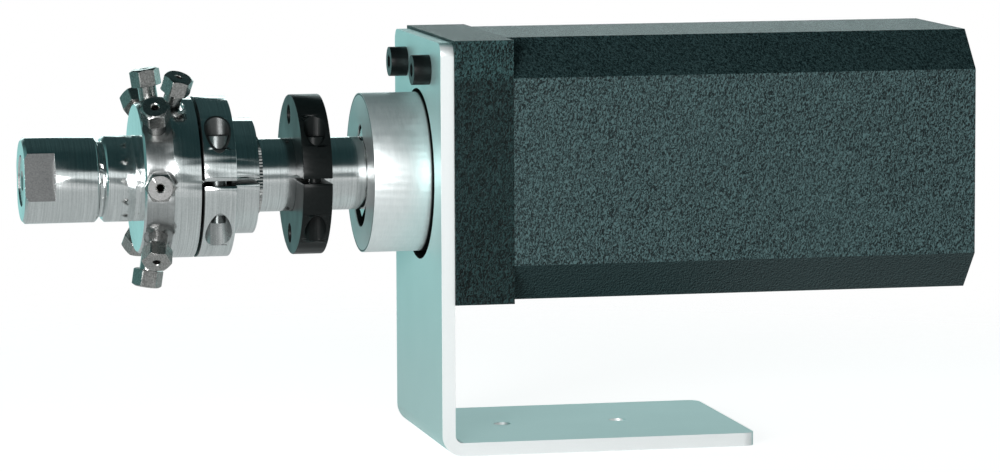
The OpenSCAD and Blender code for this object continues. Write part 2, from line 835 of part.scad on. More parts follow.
port_x = -64.7;
band_r = ring_r - 0.25;
port_r = band_r - (band_x - port_x) * tan(port_lean);
chamber_wall_r = rotor_r + 0.03;
port_inner_x = port_x + (port_r - rotor_r) * tan(port_lean);
stem_r = 2.2;
head_h = 4.1;
nut_mouth = 0.3;
dome_face_r = 2.85;
bore_start = 0.3;
inner_bore_r = 1.15;
ferrule_r = 1.6;
ferrule_l = 1.6;
seat_depth = 7;
cavity_r = 9.6;
body_end_x = -48.2;
spindle_r = 7.5;
spindle_x = -86;
common_angle = 67.5;
common_x = -60.6;
common_lean = -13;
neck_edge = 0.7;
seam_x = -69.4;
band_edge = 0.5;

// Radius of the leaning band at station x
function cone_r(x) = band_r - (band_x - x) * tan(port_lean);

// Local origin on the ring's surface, local +Z out along the port's axis
module at_port(angle, x, r, lean) {
    radial(angle) translate([x, 0, r]) rotate([0, -lean, 0]) children();
}

module at_ports() {
    for (i = [0 : port_count - 1])
        at_port(i * 360 / port_count, port_x, port_r, port_lean) children();
}

module port_cut() {
    translate([0, 0, -0.35]) cylinder(h = 4, r = 3.4, $fn = 48);
    translate([0, 0, -seat_depth]) cylinder(h = seat_depth + past, r = stem_r + fine, $fn = 48);
    translate([0, 0, -port_r - 1]) cylinder(h = port_r, r = 0.5, $fn = 32);
}

module valve_body() {
    color("#a3acac") at_shaft() difference() {
        union() {
            tapered(face_x, face_x + band_edge, cone_r(face_x + band_edge) - band_edge,
                cone_r(face_x + band_edge));
            tapered(face_x + band_edge, band_x, cone_r(face_x + band_edge), band_r);
            turned(band_x - 0.01, body_x, ring_r);
            tapered(neck_x, neck_x + neck_edge, neck_r - neck_edge, neck_r);
            turned(neck_x + neck_edge, face_x + 1, neck_r);
            turned(spindle_x, neck_x + 1, spindle_r);
            turned(body_x - 1, body_end_x, clamp_bore_r - 0.05);
        }
        turned(seam_x, seam_x + 0.2, neck_r + 1, neck_r - 0.15);
        turned(rotor_x - 0.3, carrier_x + 0.3, chamber_wall_r);
        turned(carrier_x + 0.2, body_end_x + past, cavity_r);
        turned(spindle_x - past, rotor_x, 0.5);
        at_ports() port_cut();
        at_port(common_angle, common_x, ring_r, common_lean) {
            translate([0, 0, -1.4]) cylinder(h = 6, r = 3.2, $fn = 48);
            translate([0, 0, -6.2]) cylinder(h = 7, r = stem_r + fine, $fn = 48);
            translate([0, 0, -12.6]) cylinder(h = 8, r = 0.5, $fn = 32);
        }
    }
}

// Fitting nut: hexagonal head with a turned dome, over a plain stem with a wider bore inside
module fitting_nut(face_z) {
    corner_r = nut_af / 2 / cos(30);
    difference() {
        union() {
            intersection() {
                translate([0, 0, face_z - head_h]) cylinder(h = head_h, r = corner_r, $fn = 6);
                dome(face_z, dome_face_r, corner_r + 1);
                translate([0, 0, 2 * face_z - head_h]) mirror([0, 0, 1])
                    dome(face_z, corner_r - 0.35, corner_r + 1);
                translate([0, 0, face_z - head_h - 1]) cylinder(h = head_h + 1, r = corner_r - 0.08);
            }
            translate([0, 0, ferrule_l - seat_depth])
                cylinder(h = face_z - head_h + seat_depth - ferrule_l + past, r = stem_r, $fn = 48);
        }
        translate([0, 0, -seat_depth - past])
            cylinder(h = face_z + seat_depth + 2 * past, d = port_hole_d, $fn = 32);
        translate([0, 0, -seat_depth - past])
            cylinder(h = seat_depth + past + bore_start, r = inner_bore_r, $fn = 32);
        translate([0, 0, face_z - nut_mouth])
            cylinder(h = 2 * nut_mouth, r1 = port_hole_d / 2, r2 = port_hole_d / 2 + 2 * nut_mouth,
                $fn = 32);
    }
}

// Blank whose top at height z is turned at 30 degrees from radius r out to radius r_out
module dome(z, r, r_out) {
    slope_h = (r_out - r) * tan(30);
    translate([0, 0, z - slope_h]) cylinder(h = slope_h, r1 = r_out, r2 = r);
    translate([0, 0, z - 20]) cylinder(h = 20 - slope_h + 0.001, r = r_out);
}

module ferrule() {
    difference() {
        translate([0, 0, -seat_depth])
            cylinder(h = ferrule_l, r1 = 1.1, r2 = ferrule_r, $fn = 48);
        translate([0, 0, -seat_depth - past]) cylinder(h = ferrule_l + 1, r = 0.6, $fn = 32);
    }
}

module port_nuts() {
    color("#a8b0b0") at_shaft() at_ports() fitting_nut(nut_top_r - port_r);
}

module common_nut() {
    color("#a8b0b0") at_shaft()
        at_port(common_angle, common_x, ring_r, common_lean)
            translate([0, 0, 0.9]) fitting_nut(nut_top_r - ring_r);
}

module port_ferrules() {
    color("#c7a351") at_shaft() {
        at_ports() ferrule();
        at_port(common_angle, common_x, ring_r, common_lean) translate([0, 0, 0.9]) ferrule();
    }
}

outlet_r = 6.1;
outlet_l = 5;

module end_cap() {
    edge = 0.7;
    flat_l = 7.1;
    cap_end_x = neck_x - groove_l;
    color("#a3acac") at_shaft() difference() {
        union() {
            tapered(end_x, end_x + edge, neck_r - edge, neck_r);
            turned(end_x + edge, cap_end_x - edge, neck_r);
            tapered(cap_end_x - edge, cap_end_x, neck_r, neck_r - edge);
            turned(cap_end_x - past, neck_x, neck_r - 1.2);
        }
        turned(spindle_x - 0.5, neck_x + past, spindle_r + fine);
        turned(end_x - past, spindle_x, 0.5);
        turned(end_x - past, end_x + outlet_l, outlet_r);
        for (side = [-1, 1]) radial(side * 90 - 80)
            translate([end_x - past, -neck_r, flat_af / 2])
                cube([flat_l + past, neck_d, neck_r]);
    }
}

module outlet_fitting() {
    color("#949d9d") at_shaft() difference() {
        turned(end_x + 0.3, end_x + outlet_l, outlet_r - 0.35);
        turned(end_x - past, end_x + outlet_l + past, port_hole_d / 2);
        tapered(end_x + 0.3 - past, end_x + 1.8, 3, port_hole_d / 2);
    }
}

module thrust_bearing() {
    color("#b6babc") at_shaft() turned(-55.1, -53.3, cavity_r - 0.1, 4.2);
}

module preload_springs() {
    washers = 3;
    color("#8c9194") at_shaft() for (i = [0 : washers - 1])
        turned(-53.2 + i * 0.95, -52.35 + i * 0.95, cavity_r - 0.3, 4.4);
}

module preload_nut() {
    color("#9aa0a3") at_shaft() turned(-50.3, body_end_x, cavity_r - fine, 4.4);
}

bracket();
bracket_screws();
front_cap();
housing_shell();
rear_cover();
rear_cover_screws();
power_socket();
serial_socket();
adapter();
adapter_screws();
tube_nut();
standoff_tube();
tube_bushings();
spline_ring();
clamp_ring();
clamp_screw();
gearbox_front_plate();
gearbox_rear_plate();
gearbox_posts();
gearbox_screws();
output_bushings();
intermediate_pin();
motor_can();
motor_magnets();
motor_end_cap();
position_sensor();
control_board();
board_parts();
board_posts();
output_shaft();
output_gear();
encoder_disc();
driver_hub();
oldham_disc();
driven_hub();
drive_shaft();
rotor_carrier();
valve_rotor();
valve_body();
end_cap();
outlet_fitting();
port_nuts();
port_ferrules();
common_nut();
thrust_bearing();
preload_springs();
preload_nut();
motor_shaft();
motor_armature();
motor_pinion();
intermediate_pinion();
intermediate_wheel();
collar_upper_half();
collar_lower_half();
collar_screws();
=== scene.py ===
"""Camera, studio, materials and fine detail for the motor-driven rotary selector valve."""

import json
import math

import bmesh
import bpy
from mathutils import Matrix, Vector


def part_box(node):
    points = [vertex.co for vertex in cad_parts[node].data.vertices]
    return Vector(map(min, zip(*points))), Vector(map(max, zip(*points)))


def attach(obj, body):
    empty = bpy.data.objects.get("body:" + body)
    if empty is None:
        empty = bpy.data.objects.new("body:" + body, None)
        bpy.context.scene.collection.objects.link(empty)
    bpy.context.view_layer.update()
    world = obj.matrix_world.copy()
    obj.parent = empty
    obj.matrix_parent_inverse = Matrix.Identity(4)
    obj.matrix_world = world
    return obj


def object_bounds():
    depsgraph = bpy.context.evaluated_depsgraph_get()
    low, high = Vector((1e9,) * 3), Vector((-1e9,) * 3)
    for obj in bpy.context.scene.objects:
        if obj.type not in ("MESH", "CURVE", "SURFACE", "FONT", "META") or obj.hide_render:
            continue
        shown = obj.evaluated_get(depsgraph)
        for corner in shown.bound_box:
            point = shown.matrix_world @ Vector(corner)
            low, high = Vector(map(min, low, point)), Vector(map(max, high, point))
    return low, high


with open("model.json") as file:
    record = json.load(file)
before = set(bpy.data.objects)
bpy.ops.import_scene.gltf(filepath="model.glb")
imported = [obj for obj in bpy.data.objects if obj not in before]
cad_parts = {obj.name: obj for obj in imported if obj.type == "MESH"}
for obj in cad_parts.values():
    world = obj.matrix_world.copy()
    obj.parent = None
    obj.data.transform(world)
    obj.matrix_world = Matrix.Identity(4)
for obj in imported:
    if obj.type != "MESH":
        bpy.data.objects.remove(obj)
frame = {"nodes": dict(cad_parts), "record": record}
nodes = frame["nodes"]
cad_low, cad_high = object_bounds()
object_middle = (cad_low + cad_high) / 2
MM = 0.001


def box_middle(node):
    """Middle of a CAD node's box."""
    low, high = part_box(node)
    return (low + high) / 2


shaft_height = box_middle("standoff_tube").z


# ---- Camera ----

# The camera stands in front of the object, turned to the left of it and raised by these angles.
CAMERA_AZIMUTH = math.radians(11.95)
CAMERA_ELEVATION = math.radians(6.25)
CAMERA_ROLL = math.radians(-0.25)
CAMERA_TARGET = Vector((-0.01455, 0, 0.04882))
CAMERA_DISTANCE = 1.1908
CAMERA_LENS = 178.03
CAMERA_SENSOR = 36


def place_camera():
    """A long lens in front of the object, a little to the left and above."""
    azimuth, elevation = CAMERA_AZIMUTH, CAMERA_ELEVATION
    back = Vector((
        -math.sin(azimuth) * math.cos(elevation),
        -math.cos(azimuth) * math.cos(elevation),
        math.sin(elevation),
    ))
    right = Vector((math.cos(azimuth), -math.sin(azimuth), 0))
    up = back.cross(right)
    turned_right = right * math.cos(CAMERA_ROLL) + up * math.sin(CAMERA_ROLL)
    turned_up = back.cross(turned_right)
    data = bpy.data.cameras.new("camera")
    data.lens = CAMERA_LENS
    data.sensor_width = CAMERA_SENSOR
    data.sensor_fit = "HORIZONTAL"
    data.clip_start, data.clip_end = 0.05, 20
    camera = bpy.data.objects.new("camera", data)
    bpy.context.scene.collection.objects.link(camera)
    axes = Matrix((turned_right, turned_up, back)).transposed().to_4x4()
    camera.matrix_world = Matrix.Translation(CAMERA_TARGET + back * CAMERA_DISTANCE) @ axes
    bpy.context.scene.camera = camera


# ---- Node helpers ----


class Graph:
    """Short calls for building a node tree."""

    def __init__(self, tree):
        self.tree = tree
        tree.nodes.clear()

    def add(self, kind, inputs=None, **settings):
        """A node of that kind, with its settings, and its inputs as values or links."""
        node = self.tree.nodes.new(kind)
        for key, value in settings.items():
            setattr(node, key, value)
        for key, value in (inputs or {}).items():
            self.put(node.inputs[key], value)
        return node

    def put(self, socket, value):
        """Links a socket to another one, or sets its value."""
        if isinstance(value, bpy.types.NodeSocket):
            self.tree.links.new(value, socket)
        elif isinstance(value, (tuple, list)) and socket.type == "RGBA" and len(value) == 3:
            socket.default_value = (*value, 1)
        else:
            socket.default_value = value

    def ramp(self, value, low, high, to_low=0.0, to_high=1.0, smooth=False):
        """value taken from the range low to high into the range to_low to to_high."""
        inputs = {
            "Value": value,
            "From Min": low,
            "From Max": high,
            "To Min": to_low,
            "To Max": to_high,
        }
        kind = "SMOOTHSTEP" if smooth else "LINEAR"
        return self.add("ShaderNodeMapRange", inputs, interpolation_type=kind).outputs["Result"]

    def between(self, value, low, high):
        """1 where value lies from low to high, both in metres or parts of 1."""
        edge = 0.04 * MM
        return self.times(self.ramp(value, low - edge, low), self.ramp(value, high + edge, high))

    def mix(self, share, a, b):
        """Colour a where share is 0, b where it is 1."""
        node = self.add("ShaderNodeMix", data_type="RGBA")
        self.put(node.inputs[0], share)
        self.put(node.inputs[6], a)
        self.put(node.inputs[7], b)
        return node.outputs[2]

    def math(self, operation, a, b=0.0):
        """A Math node on a and b."""
        node = self.add("ShaderNodeMath", operation=operation)
        self.put(node.inputs[0], a)
        self.put(node.inputs[1], b)
        return node.outputs[0]

    def times(self, a, b):
        """a times b."""
        return self.math("MULTIPLY", a, b)

    def absolute(self, value):
        """value without its sign."""
        return self.math("ABSOLUTE", value)

    def length(self, vector):
        """Length of a vector."""
        return self.add("ShaderNodeVectorMath", {0: vector}, operation="LENGTH").outputs["Value"]

    def parts(self, vector):
        """The X, Y and Z of a vector, by name."""
        return self.add("ShaderNodeSeparateXYZ", {"Vector": vector}).outputs

    def place(self, stretch=(1, 1, 1), shift=(0, 0, 0)):
        """The object's own coordinates, stretched and then moved."""
        coordinates = self.add("ShaderNodeTexCoord").outputs["Object"]
        inputs = {"Vector": coordinates, "Location": shift, "Scale": stretch}
        return self.add("ShaderNodeMapping", inputs).outputs["Vector"]

    def at(self):
        """The X, Y and Z of the place on the object."""
        return self.parts(self.place())

    def facing(self):
        """The X, Y and Z of the object's own normal."""
        return self.parts(self.add("ShaderNodeTexCoord").outputs["Normal"])

    def off_axis(self, drop=0.0):
        """Distance from the shaft's axis, or from a line that far below it."""
        return self.length(self.place((0, 1, 1), (0, 0, drop - shaft_height)))

    def noise(self, vector, per_metre, detail=2.0, rough=0.5, distortion=0.0):
        """Soft noise with that many features in a metre."""
        inputs = {
            "Vector": vector,
            "Scale": per_metre,
            "Detail": detail,
            "Roughness": rough,
            "Distortion": distortion,
        }
        return self.add("ShaderNodeTexNoise", inputs).outputs["Fac"]

    def bump(self, height, depth, strength=1.0, normal=None):
        """A bump of that depth in metres, on top of another normal if one is given."""
        inputs = {"Height": height, "Distance": depth, "Strength": strength}
        if normal is not None:
            inputs["Normal"] = normal
        return self.add("ShaderNodeBump", inputs).outputs["Normal"]


# ---- Studio ----

# What the camera sees round the object
PALE = (1, 1, 1)
# What the object mirrors: in front and above, level with it, below, at the left and behind
SKY_TOP = (0.016, 0.038, 0.040)
SKY_LOW = (0.88, 0.94, 0.94)
HORIZON = (0.20, 0.23, 0.23)
GROUND = (0.68, 0.70, 0.70)
LEFT_SIDE = (0.14, 0.30, 0.295)
REAR_TOP = (0.03, 0.06, 0.062)
REAR_HIGH = (0.66, 0.98, 0.96)
REAR_LOW = (0.34, 0.66, 0.65)


def studio_world():
    """Pale surroundings low down, dark above the front, light blue-green behind and at the left."""
    world = bpy.data.worlds.new("studio")
    bpy.context.scene.world = world
    world.use_nodes = True
    g = Graph(world.node_tree)
    x, y, z = g.parts(g.add("ShaderNodeTexCoord").outputs["Generated"])
    rear = g.ramp(y, -0.35, 0.45, smooth=True)
    low_rear = g.times(rear, g.ramp(z, 0.05, 0.42, 1, 0, smooth=True))
    left = g.ramp(x, -0.45, -0.85, smooth=True)
    sky = g.mix(g.ramp(z, 0.52, 0.28, smooth=True), SKY_TOP, SKY_LOW)
    sky = g.mix(g.ramp(z, 0.20, 0.05, smooth=True), sky, HORIZON)
    sky = g.mix(rear, sky, REAR_TOP)
    sky = g.mix(low_rear, sky, REAR_HIGH)
    ground = g.mix(g.ramp(z, -0.07, -0.2, smooth=True), HORIZON, GROUND)
    ground = g.mix(rear, ground, REAR_LOW)
    around = g.mix(g.ramp(z, -0.04, 0.06, smooth=True), ground, sky)
    around = g.mix(left, around, LEFT_SIDE)
    seen = g.add("ShaderNodeLightPath").outputs["Is Camera Ray"]
    colour = g.mix(seen, around, PALE)
    shader = g.add("ShaderNodeBackground", {"Color": colour, "Strength": 1.0})
    g.add("ShaderNodeOutputWorld", {"Surface": shader.outputs[0]})


def softbox(name, direction, distance, width, height, watts, colour=(1, 1, 1)):
    """A rectangular light that looks at the object from that direction."""
    data = bpy.data.lights.new(name, "AREA")
    data.shape = "RECTANGLE"
    data.size, data.size_y = width, height
    data.energy = watts
    data.color = colour
    light = bpy.data.objects.new(name, data)
    bpy.context.scene.collection.objects.link(light)
    away = Vector(direction).normalized()
    light.location = object_middle + away * distance
    light.rotation_mode = "QUATERNION"
    light.rotation_quaternion = away.to_track_quat("Z", "Y")
    light.visible_camera = False


FLOOR_RADIUS = 0.9
FLOOR_GAP = 0.1 * MM
# The floor fades out between these distances from its middle.
FLOOR_FADE = (0.13, 0.34)
# Its glow as the object mirrors it, and as the camera sees it
FLOOR_GLOW = (0.34, 0.88)


def floor():
    """A pale floor that fades into the surroundings."""
    mesh = bpy.data.meshes.new("floor")
    b = bmesh.new()
    bmesh.ops.create_circle(b, cap_ends=True, segments=96, radius=FLOOR_RADIUS)
    b.to_mesh(mesh)
    b.free()
    sheet = bpy.data.objects.new("floor", mesh)
    sheet.location = (object_middle.x, 0, cad_low.z - FLOOR_GAP)
    bpy.context.scene.collection.objects.link(sheet)
    material = bpy.data.materials.new("floor_paper")
    material.use_nodes = True
    g = Graph(material.node_tree)
    coordinates = g.place()
    fade = g.ramp(g.length(coordinates), *FLOOR_FADE, smooth=True)
    paper = g.mix(g.noise(coordinates, 900), (0.50, 0.51, 0.51), (0.54, 0.55, 0.55))
    matte = g.add("ShaderNodeBsdfDiffuse", {"Color": paper})
    seen = g.add("ShaderNodeLightPath").outputs["Is Camera Ray"]
    strength = g.ramp(seen, 0, 1, *FLOOR_GLOW)
    glow = g.add("ShaderNodeEmission", {"Color": (1, 1, 1), "Strength": strength})
    lit = g.add("ShaderNodeAddShader", {0: matte.outputs[0], 1: glow.outputs[0]})
    clear = g.add("ShaderNodeBsdfTransparent")
    both = g.add("ShaderNodeMixShader", {0: fade, 1: lit.outputs[0], 2: clear.outputs[0]})
    g.add("ShaderNodeOutputMaterial", {"Surface": both.outputs[0]})
    mesh.materials.append(material)


# ---- Materials ----

# Painted shade for narrow gaps and joints
GAP_SHADE = (0.012, 0.016, 0.016)


def principled(name, build, **sockets):
    """A material: uniform values are set on the shader, and build(g) gives the varied ones."""
    material = bpy.data.materials.new(name)
    material.use_nodes = True
    g = Graph(material.node_tree)
    shader = g.add("ShaderNodeBsdfPrincipled")
    for key, value in sockets.items():
        g.put(shader.inputs[key.replace("_", " ")], value)
    for key, value in build(g).items():
        g.put(shader.inputs[key], value)
    g.add("ShaderNodeOutputMaterial", {"Surface": shader.outputs[0]})
    return material


# Plate faces: aluminium grey with a painted blue-green reflection of the surroundings
PLATE_REFLECTION_TINT = (0.52, 0.74, 0.73)
PLATE_EDGE = ((0.92, 0.95, 0.95), (0.99, 0.99, 0.99))
LEG_HOLE_DROP = 0.55 * MM


def sheet_aluminium():
    """Bead-blasted plate with bright sheared edges. Its faces are greyer, with a blue-green tint
    that is a painted reflection of the blue-green surroundings. The wall of the leg's hole is
    painted dark as shade."""

    def build(g):
        spot = g.place()
        fine = g.noise(spot, 2600, 3, 0.7)
        cloud = g.noise(spot, 60, 2)
        facing = g.facing()
        edge = g.ramp(g.absolute(facing["Y"]), 0.45, 0.75)
        face = g.mix(fine, PLATE_REFLECTION_TINT, (0.68, 0.88, 0.87))
        face = g.mix(g.ramp(cloud, 0.3, 0.7, 0, 0.3), face, PLATE_REFLECTION_TINT)
        colour = g.mix(edge, face, g.mix(fine, *PLATE_EDGE))
        # Painted shade: the wall of the leg's hole is made near black.
        near = g.ramp(g.off_axis(LEG_HOLE_DROP), 21.0 * MM, 20.8 * MM)
        hole = g.times(near, g.ramp(g.absolute(facing["X"]), 0.8, 0.7))
        return {
            "Base Color": g.mix(hole, colour, (0.01, 0.014, 0.014)),
            "Metallic": g.ramp(edge, 0, 1, 0.72, 0.55),
            "Roughness": g.ramp(fine, 0.25, 0.75, 0.42, 0.56),
            "Normal": g.bump(fine, 0.03 * MM, 0.6),
        }

    return principled("sheet_aluminium", build)


def turned_aluminium(name, shade=None):
    """Turned aluminium; shade(g, colour), if given, paints shade on some of it."""

    def build(g):
        along = g.noise(g.place((2600, 330, 330)), 1, 3, 0.6)
        rings = g.noise(g.place((5200, 40, 40)), 1, 2, 0.5)
        colour = g.mix(along, (0.80, 0.84, 0.84), (0.96, 0.98, 0.98))
        height = g.math("ADD", g.times(along, 0.7), g.times(rings, 0.3))
        return {
            "Base Color": shade(g, colour) if shade else colour,
            "Roughness": g.ramp(along, 0.3, 0.7, 0.38, 0.5),
            "Normal": g.bump(height, 0.02 * MM, 0.5),
        }

    return principled(name, build, Metallic=0.8)


# Radii of the painted shade line on the adapter's end face and of the relief, painted dark inside
ADAPTER_SHADE_LINE = (18.55 * MM, 18.85 * MM)
RELIEF_RADIUS = 17.6 * MM
# The painted shade band starts this far before the leg and ends this far past its outer face.
LEG_SHADE_BEFORE = 0.2 * MM
LEG_SHADE_PAST = 3.2 * MM


def adapter_painted_shade(g, colour):
    """Painted shade on a rim line, in the relief and in a gap at the leg; the end face is greyer.
    """
    x = g.at()["X"]
    radius = g.off_axis()
    end = g.ramp(g.facing()["X"], -0.8, -0.9)
    colour = g.mix(g.times(end, 0.5), colour, (0.20, 0.20, 0.20))
    # Painted shade: a dark line round the end face's rim.
    line = g.times(g.between(radius, *ADAPTER_SHADE_LINE), end)
    colour = g.mix(g.times(line, 0.9), colour, GAP_SHADE)
    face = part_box("adapter")[0].x
    behind = g.ramp(x, face + 0.1 * MM, face + 0.3 * MM)
    # Painted shade: the relief is made near black inside.
    inside = g.times(behind, g.ramp(radius, RELIEF_RADIUS + 0.2 * MM, RELIEF_RADIUS))
    colour = g.mix(inside, colour, (0.008, 0.011, 0.011))
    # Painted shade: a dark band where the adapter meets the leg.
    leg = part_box("bracket")[0].x
    before = g.ramp(x, leg - LEG_SHADE_BEFORE - 0.4 * MM, leg - LEG_SHADE_BEFORE)
    past = g.ramp(x, leg + LEG_SHADE_PAST + 0.1 * MM, leg + LEG_SHADE_PAST)
    return g.mix(g.times(before, past), colour, GAP_SHADE)


# The grain is sampled again this far away, and the difference paints light and shade on its flanks.
FLANK_SHIFT = (0.13 * MM, 0.13 * MM, -0.08 * MM)
BAND_BLUR = 1.2 * MM


def scaled(colour, factor):
    """A colour, brighter or darker by a factor."""
    return tuple(factor * c for c in colour)


def textured_coat(name, valley, ridge, per_metre=2250, high=None, specular=0.22):
    """Coat with a fine leather grain, longer upright than along the shaft, with painted light and
    shade on the grain's flanks. It is lighter above the height high, if that is given, and its
    sloping chamfers are painted darker as shade."""

    def build(g):
        stretch = (1, 1, 0.6)
        folds = g.noise(g.place(stretch), per_metre, 2, 0.5, 0.9)
        beside = g.noise(g.place(stretch, FLANK_SHIFT), per_metre, 2, 0.5, 0.9)
        # Painted light and shade: each fold lighter on one flank and darker on the other.
        flank = g.ramp(g.math("SUBTRACT", folds, beside), -0.08, 0.13)
        top, low = ridge, valley
        if high:
            share = g.ramp(g.at()["Z"], high - BAND_BLUR, high + BAND_BLUR, smooth=True)
            top = g.mix(share, ridge, scaled(ridge, 1.9))
            low = g.mix(share, valley, scaled(valley, 1.7))
        colour = g.mix(flank, low, top)
        cloud = g.noise(g.place(), 30, 2)
        colour = g.mix(g.ramp(cloud, 0.3, 0.7, 0, 0.08), colour, scaled(ridge, 1.2))
        # Painted shade: the sloping chamfers are darkened.
        chamfer = g.between(g.absolute(g.facing()["Y"]), 0.5, 0.9)
        return {
            "Base Color": g.mix(g.times(chamfer, 0.5), colour, (0.001, 0.006, 0.007)),
            "Roughness": g.ramp(folds, 0.3, 0.7, 0.50, 0.34),
            "Normal": g.bump(folds, 0.2 * MM),
        }

    return principled(name, build, Specular_IOR_Level=specular)


def metal(name, dark, light, rough_low, rough_high, ring_share=0.7, dull_and_painted_light=None, matte=0.18):
    """Machined metal with turning marks across the X axis. Its optional mask function is 1 where
    the metal is left matte and where painted shade and a painted reflection go, as a grey about as
    light as matte."""

    def build(g):
        rings = g.noise(g.place((4200, 60, 60)), 1, 3, 0.6)
        cloud = g.noise(g.place(), 260, 3, 0.55)
        grain = g.noise(g.place(), 3000, 2, 0.6)
        marks = g.math("ADD", g.times(rings, ring_share), g.times(grain, 1 - ring_share))
        colour = g.mix(g.ramp(marks, 0.3, 0.7), dark, light)
        roughness = g.ramp(cloud, 0.3, 0.7, rough_low, rough_high)
        if dull_and_painted_light:
            share = dull_and_painted_light(g)
            greys = (0.7 * matte,) * 3, (1.3 * matte,) * 3
            colour = g.mix(share, colour, g.mix(g.ramp(grain, 0.2, 0.8), *greys))
            roughness = g.math("ADD", roughness, g.times(share, 0.28))
        return {
            "Base Color": colour,
            "Roughness": roughness,
            "Normal": g.bump(marks, 0.01 * MM, 0.6, g.bump(cloud, 0.006 * MM, 0.3)),
        }

    return principled(name, build, Metallic=1.0)


def dark_finish(name, dark, light, rough_low, rough_high, specular=0.5):
    """Blackened steel, moulded plastic or another finish with a fine grain."""

    def build(g):
        grain = g.noise(g.place(), 1400, 3, 0.6)
        cloud = g.noise(g.place(), 90, 2)
        return {
            "Base Color": g.mix(grain, dark, light),
            "Roughness": g.ramp(cloud, 0.3, 0.7, rough_low, rough_high),
            "Normal": g.bump(grain, 0.03 * MM, 0.4),
        }

    return principled(name, build, Metallic=0.0, Specular_IOR_Level=specular)


# ---- Dull places, painted shade and a painted reflection on the machined steel ----

WRENCH_FLAT_LENGTH = 7.2 * MM
# Radii between which the clamp screw's holes are painted dark as shade
CLAMP_HOLE = (3.22 * MM, 3.14 * MM)
CLAMP_SLIT_HALF = 1.2 * MM
# From the clamp ring's left face to its step down to the hub
CLAMP_STEP = 7.8 * MM
# Where the ported band starts and ends, from the valve body's right end
PORTED_BAND = (19.8 * MM, 13.2 * MM)


def wrench_flats(g):
    """1 on the end cap's two flats."""
    flat = g.ramp(g.absolute(g.facing()["Y"]), 0.93, 0.95)
    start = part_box("end_cap")[0].x
    return g.times(flat, g.between(g.at()["X"], start, start + WRENCH_FLAT_LENGTH))


def clamp_painted_shade(g):
    """Painted shade: near 1 in the clamp ring's slit, upper screw hole and seams, and less in its
    lower hole.
    """
    at = g.at()
    middle = box_middle("clamp_screw")
    across = g.length(g.place((1, 1, 0), (-middle.x, -middle.y, 0)))
    level = g.ramp(at["Z"], shaft_height - 1 * MM, shaft_height + 1 * MM, 0.45, 0.9)
    holes = g.times(g.ramp(across, *CLAMP_HOLE), level)
    low, high = shaft_height - CLAMP_SLIT_HALF, shaft_height + CLAMP_SLIT_HALF
    slit = g.times(g.between(at["Z"], low, high), g.ramp(g.absolute(g.facing()["Z"]), 0.7, 0.8))
    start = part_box("clamp_ring")[0].x
    step = start + CLAMP_STEP
    first = g.between(at["X"], start, start + 0.2 * MM)
    second = g.between(at["X"], step, step + 0.3 * MM)
    seams = g.times(g.math("MAXIMUM", first, second), 0.95)
    return g.math("MAXIMUM", g.math("MAXIMUM", holes, slit), seams)


def body_matte_band_and_seam_shade(g):
    """Half to 1 on the valve body's leaning band, which is left matte, and 1 in its seam with the
    clamp ring, where shade is painted.
    """
    x = g.at()["X"]
    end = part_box("valve_body")[1].x
    band = g.between(x, end - PORTED_BAND[0], end - PORTED_BAND[1])
    turned = g.times(g.times(band, g.ramp(g.facing()["X"], -0.6, -0.5)), 0.6)
    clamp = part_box("clamp_ring")[0].x
    return g.math("MAXIMUM", turned, g.between(x, clamp - 0.3 * MM, clamp))


def front_nut_painted_reflection(g):
    """Most of the way to 1 on the end face of the nut that points to the front, which is made
    rougher and gets a painted reflection: a flat grey.
    """
    facing = g.facing()
    front = g.ramp(facing["Y"], -0.97, -0.98)
    return g.times(g.times(front, g.between(facing["X"], -0.18, -0.11)), 0.8)


# ---- Materials by slot and by node ----

POLISH = ((0.54, 0.57, 0.57), (0.90, 0.92, 0.92), 0.11, 0.19)
# The nut steel carries a painted reflection on the front nut's end face.
NUT_STEEL = metal(
    "nut_steel",
    (0.22, 0.215, 0.21),
    (0.58, 0.565, 0.55),
    0.2,
    0.32,
    ring_share=0.2,
    dull_and_painted_light=front_nut_painted_reflection,
)
# Above this height the front cap's coat is lighter. It is level with the foot of the shell's upper
# chamfer.
CAP_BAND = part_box("housing_shell")[1].z - 9 * MM

# For each slot: the function that makes its material, its values and its options
SLOT_RECIPES = {
    # The coat is near black; its blue-green tint is painted light from the surroundings.
    "textured_coat": (textured_coat, ((0.0, 0.005, 0.006), (0.076, 0.136, 0.140)), {}),
    "black_oxide": (
        dark_finish,
        ((0.002, 0.003, 0.003), (0.009, 0.011, 0.011), 0.3, 0.42),
        {"specular": 0.16},
    ),
    "black_plastic": (dark_finish, ((0.012, 0.012, 0.014), (0.03, 0.03, 0.033), 0.4, 0.55), {}),
    "circuit_board": (dark_finish, ((0.015, 0.09, 0.03), (0.03, 0.15, 0.06), 0.3, 0.45), {}),
    "ferrite": (dark_finish, ((0.04, 0.04, 0.045), (0.07, 0.07, 0.075), 0.6, 0.8), {}),
    "acetal": (dark_finish, ((0.74, 0.72, 0.64), (0.84, 0.82, 0.75), 0.3, 0.42), {}),
    "rotor_polymer": (dark_finish, ((0.52, 0.43, 0.27), (0.68, 0.58, 0.40), 0.35, 0.5), {}),
    "polished_steel": (metal, POLISH, {}),
    "stainless": (
        metal,
        ((0.34, 0.335, 0.33), (0.74, 0.735, 0.725), 0.15, 0.26),
        {"ring_share": 0.2},
    ),
    "nickel": (metal, ((0.52, 0.52, 0.50), (0.70, 0.70, 0.67), 0.2, 0.32), {"ring_share": 0.2}),
    "brass": (metal, ((0.55, 0.38, 0.16), (0.76, 0.58, 0.30), 0.2, 0.34), {}),
    "copper_winding": (metal, ((0.40, 0.15, 0.05), (0.70, 0.32, 0.14), 0.25, 0.4), {}),
}
SLOT_MATERIALS = {
    "sheet_aluminium": sheet_aluminium(),
    "turned_aluminium": turned_aluminium("turned_aluminium"),
}
